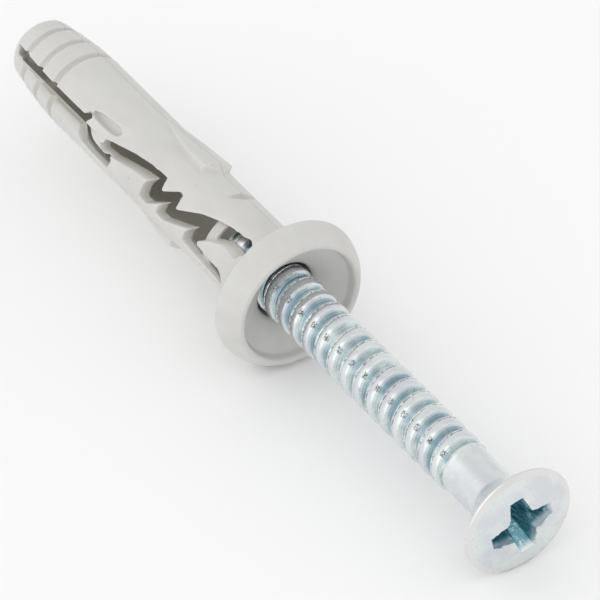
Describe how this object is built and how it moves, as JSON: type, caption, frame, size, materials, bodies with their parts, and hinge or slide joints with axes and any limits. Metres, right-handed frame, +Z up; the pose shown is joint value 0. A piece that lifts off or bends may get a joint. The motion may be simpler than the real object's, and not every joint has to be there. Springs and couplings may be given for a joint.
{
  "type": "hammer fixing",
  "caption": "Hammer fixing as supplied: a slotted grey nylon plug with a cupped collar and side barbs, and a countersunk hammer-in screw standing half driven in it.",
  "frame": {"origin": "bottom centre of the bounding box, on the surface that the fixing lies on", "axes": "+X towards the screw's head and nearly along the fixing, which lies head-down by 2.9 degrees on a flat of its collar and the rim of its head; +Z up"},
  "size_m": [0.0596, 0.0112, 0.011],
  "materials": {
    "grey_nylon": "moulded, satin",
    "zinc_plated_steel": "bright zinc plate"
  },
  "bodies": {
    "plug": {"expansion_plug": "grey_nylon"},
    "screw": {"hammer_screw": "zinc_plated_steel"}
  },
  "joints": [
    {"name": "screw_drive", "type": "slide", "parent": "plug", "child": "screw", "axis": [-0.9987, 0, 0.0501], "range_m": [0, 0.0254]}
  ]
}
